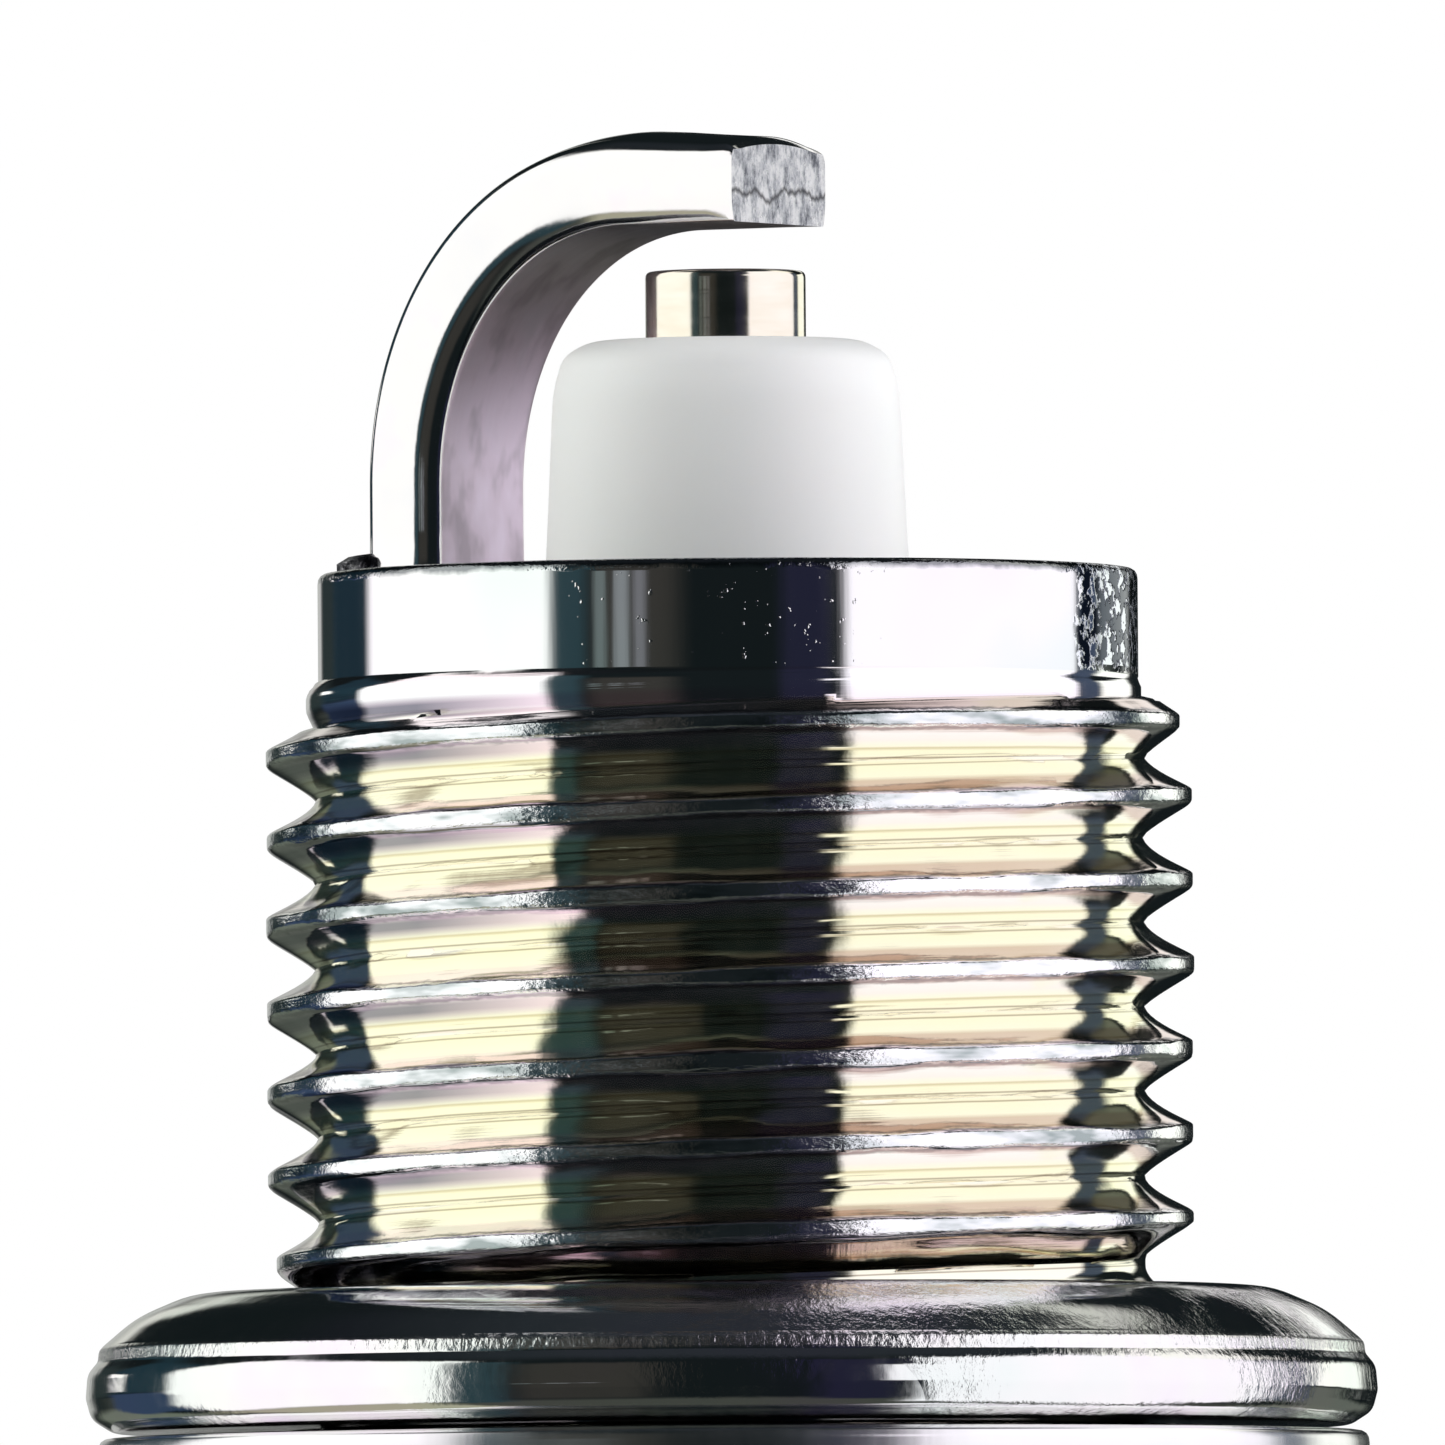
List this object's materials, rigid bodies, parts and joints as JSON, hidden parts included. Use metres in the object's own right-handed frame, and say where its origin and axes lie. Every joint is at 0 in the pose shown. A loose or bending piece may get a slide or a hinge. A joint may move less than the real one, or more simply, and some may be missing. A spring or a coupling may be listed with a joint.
{
  "type": "spark plug",
  "caption": "Screw-in spark plug with a captive crush gasket, a hooked ground electrode over a ceramic nose, a hexagon and a removable terminal nut.",
  "frame": {"origin": "on the plug's axis, in the plane of the shell's gasket seat", "axes": "+Z along the axis towards the firing end, -Z towards the terminal; the ground electrode reaches from -X +Y over the axis to +X -Y; two hexagon flats face +Y and -Y"},
  "size_m": [0.024, 0.0208, 0.0722],
  "materials": {
    "shell_plating": "bright rolled steel, nickel plated",
    "gasket_steel": "bright plated sheet steel",
    "strap_nickel": "bright drawn nickel alloy",
    "electrode_nickel": "polished nickel alloy",
    "copper": "plain copper",
    "alumina": "matte white nose, glazed terminal end",
    "packing_steel": "plain steel",
    "talc": "pressed powder",
    "conductive_glass": "dark fused glass and copper powder",
    "resistor_mix": "black glass and carbon",
    "terminal_steel": "nickel plated steel",
    "terminal_nut_nickel": "bright nickel plated"
  },
  "bodies": {
    "plug": {"shell": "shell_plating", "ground_electrode": "strap_nickel", "insulator": "alumina", "centre_electrode": "electrode_nickel", "centre_electrode_copper_core": "copper", "insulator_seat_washer": "packing_steel", "lower_packing_ring": "packing_steel", "talc_seal": "talc", "upper_packing_ring": "packing_steel", "lower_glass_seal": "conductive_glass", "resistor": "resistor_mix", "upper_glass_seal": "conductive_glass", "terminal_stud": "terminal_steel"},
    "gasket_washer": {"gasket": "gasket_steel"},
    "nut": {"terminal_nut": "terminal_nut_nickel"}
  },
  "joints": [
    {"name": "gasket_turn", "type": "hinge", "parent": "plug", "child": "gasket_washer", "pos_m": [0, 0, 0], "axis": [0, 0, 1], "continuous": true},
    {"name": "terminal_nut_unscrew", "type": "slide", "parent": "plug", "child": "nut", "axis": [0, 0, -1], "range_m": [0, 0.01]}
  ]
}
